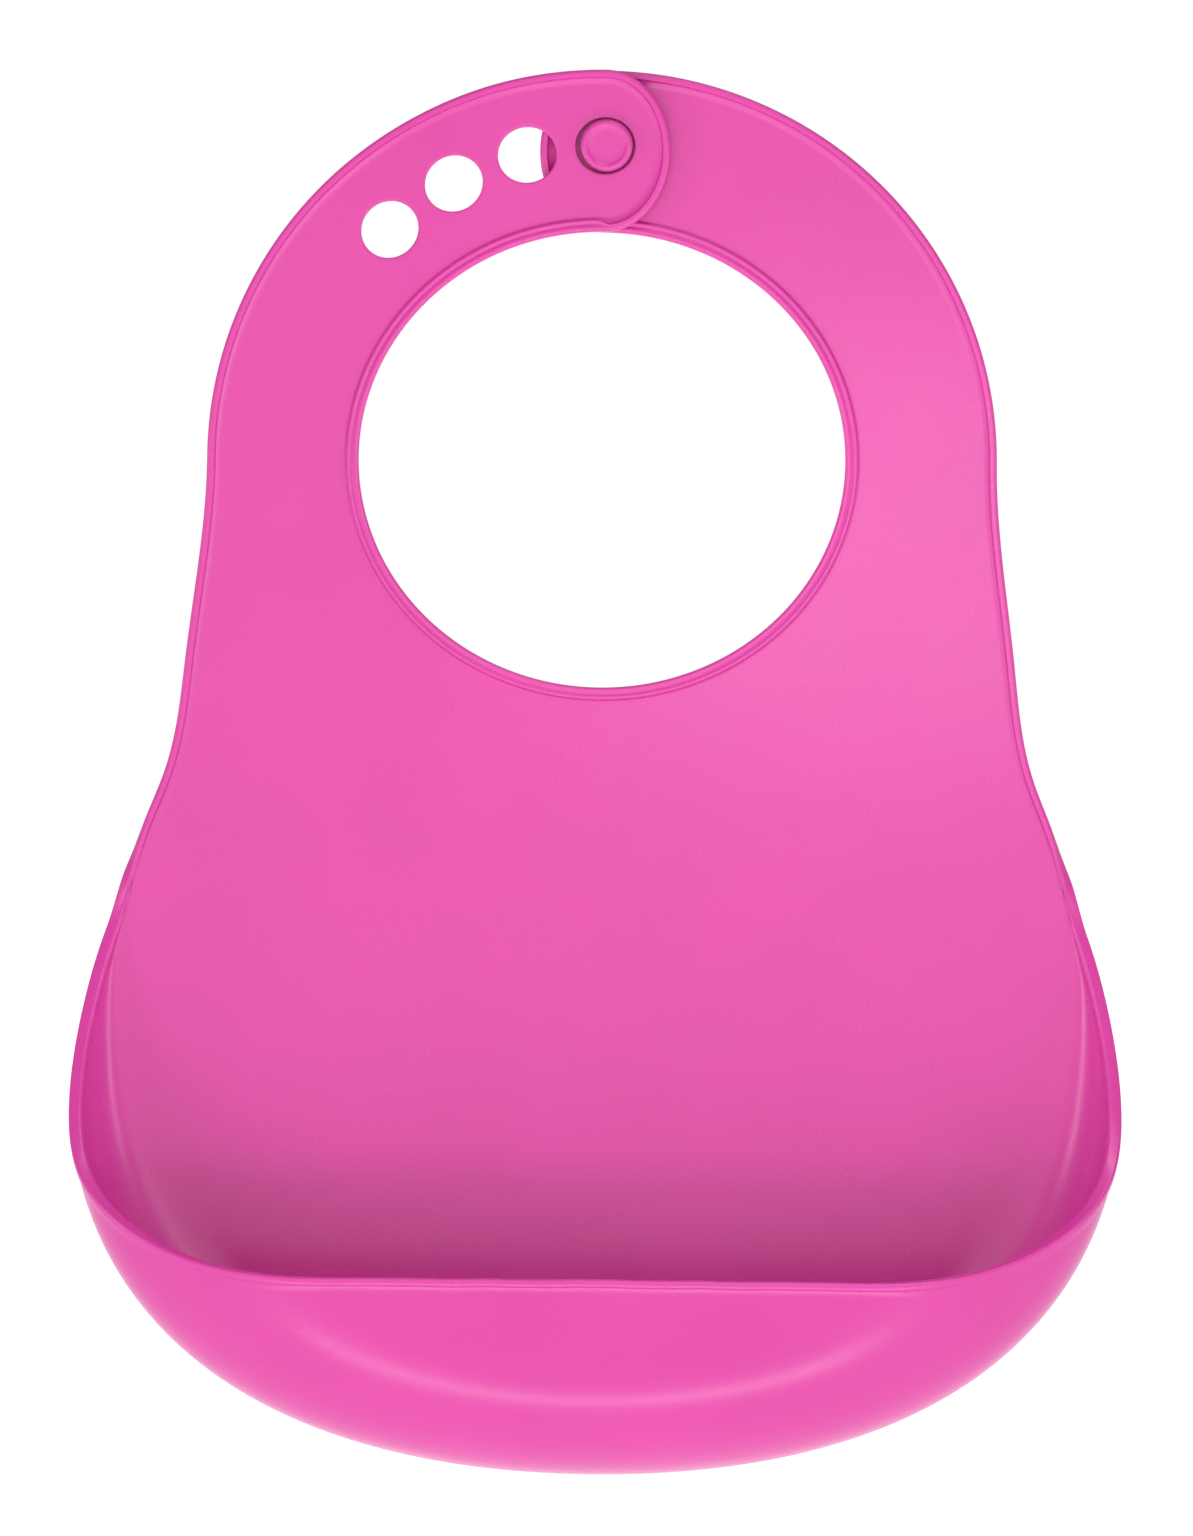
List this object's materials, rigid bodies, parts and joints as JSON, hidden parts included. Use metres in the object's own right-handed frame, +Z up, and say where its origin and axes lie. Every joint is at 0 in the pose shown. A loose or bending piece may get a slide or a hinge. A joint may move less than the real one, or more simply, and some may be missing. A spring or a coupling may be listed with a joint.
{
  "type": "silicone bib",
  "caption": "Moulded silicone baby bib with a catch pocket, flexible collar straps with button holes and a button stud.",
  "frame": {"origin": "middle of the neck opening, on the back face of the sheet", "axes": "+Z up as worn or hung, -Y forwards out of the chest, +X towards the strap with the stud"},
  "size_m": [0.2302, 0.0435, 0.3073],
  "materials": {
    "silicone": "satin moulded silicone",
    "silicone_stud": "satin moulded silicone"
  },
  "bodies": {
    "chest": {"chest_panel": "silicone"},
    "apron": {"apron_panel": "silicone", "pocket_wall": "silicone", "pocket_rim": "silicone"},
    "hole_shoulder": {"hole_side_shoulder": "silicone"},
    "hole_strap_base": {"hole_strap_base": "silicone"},
    "hole_strap_middle": {"hole_strap_middle": "silicone"},
    "hole_strap_end": {"hole_strap_end": "silicone"},
    "stud_shoulder": {"stud_side_shoulder": "silicone"},
    "stud_strap_base": {"stud_strap_base": "silicone"},
    "stud_strap_middle": {"stud_strap_middle": "silicone"},
    "stud_strap_end": {"stud_strap_end": "silicone", "stud_neck": "silicone_stud", "stud_head": "silicone_stud"}
  },
  "joints": [
    {"name": "apron_fold", "type": "hinge", "parent": "chest", "child": "apron", "pos_m": [0, -0.0029, -0.075], "axis": [-1, 0, 0], "range_deg": [0, 90], "stiffness_Nm_per_rad": 0.02},
    {"name": "hole_shoulder_fold", "type": "hinge", "parent": "chest", "child": "hole_shoulder", "pos_m": [-0.07, 0.0001, -0.006], "axis": [-1, 0, 0], "range_deg": [0, 80], "stiffness_Nm_per_rad": 0.05},
    {"name": "hole_strap_base_bend", "type": "hinge", "parent": "hole_shoulder", "child": "hole_strap_base", "pos_m": [-0.06553, -0.00296, 0.02129], "axis": [0.9511, 0, -0.309], "range_deg": [0, 35], "stiffness_Nm_per_rad": 0.03},
    {"name": "hole_strap_middle_bend", "type": "hinge", "parent": "hole_strap_base", "child": "hole_strap_middle", "pos_m": [-0.05429, -0.00379, 0.04242], "axis": [0.788, 0, -0.6157], "range_deg": [0, 35], "stiffness_Nm_per_rad": 0.03},
    {"name": "hole_strap_end_bend", "type": "hinge", "parent": "hole_strap_middle", "child": "hole_strap_end", "pos_m": [-0.02536, -0.006, 0.06406], "axis": [0.3681, 0, -0.9298], "range_deg": [0, 35], "stiffness_Nm_per_rad": 0.02},
    {"name": "stud_shoulder_fold", "type": "hinge", "parent": "chest", "child": "stud_shoulder", "pos_m": [0.07, 0.0001, -0.006], "axis": [-1, 0, 0], "range_deg": [0, 80], "stiffness_Nm_per_rad": 0.05},
    {"name": "stud_strap_base_bend", "type": "hinge", "parent": "stud_shoulder", "child": "stud_strap_base", "pos_m": [0.06553, 0.0001, 0.02129], "axis": [-0.9511, 0, -0.309], "range_deg": [0, 25], "stiffness_Nm_per_rad": 0.03},
    {"name": "stud_strap_middle_bend", "type": "hinge", "parent": "stud_strap_base", "child": "stud_strap_middle", "pos_m": [0.05429, 0.0001, 0.04242], "axis": [-0.788, 0, -0.6157], "range_deg": [0, 25], "stiffness_Nm_per_rad": 0.03},
    {"name": "stud_strap_end_bend", "type": "hinge", "parent": "stud_strap_middle", "child": "stud_strap_end", "pos_m": [0.02536, 0.0001, 0.06406], "axis": [-0.3681, 0, -0.9298], "range_deg": [0, 25], "stiffness_Nm_per_rad": 0.02}
  ],
  "couplings": [
    {"joint": "stud_shoulder_fold", "follows": "hole_shoulder_fold", "ratio": 1},
    {"joint": "hole_strap_middle_bend", "follows": "hole_strap_base_bend", "ratio": 1},
    {"joint": "hole_strap_end_bend", "follows": "hole_strap_base_bend", "ratio": 1},
    {"joint": "stud_strap_middle_bend", "follows": "stud_strap_base_bend", "ratio": 1},
    {"joint": "stud_strap_end_bend", "follows": "stud_strap_base_bend", "ratio": 1}
  ]
}
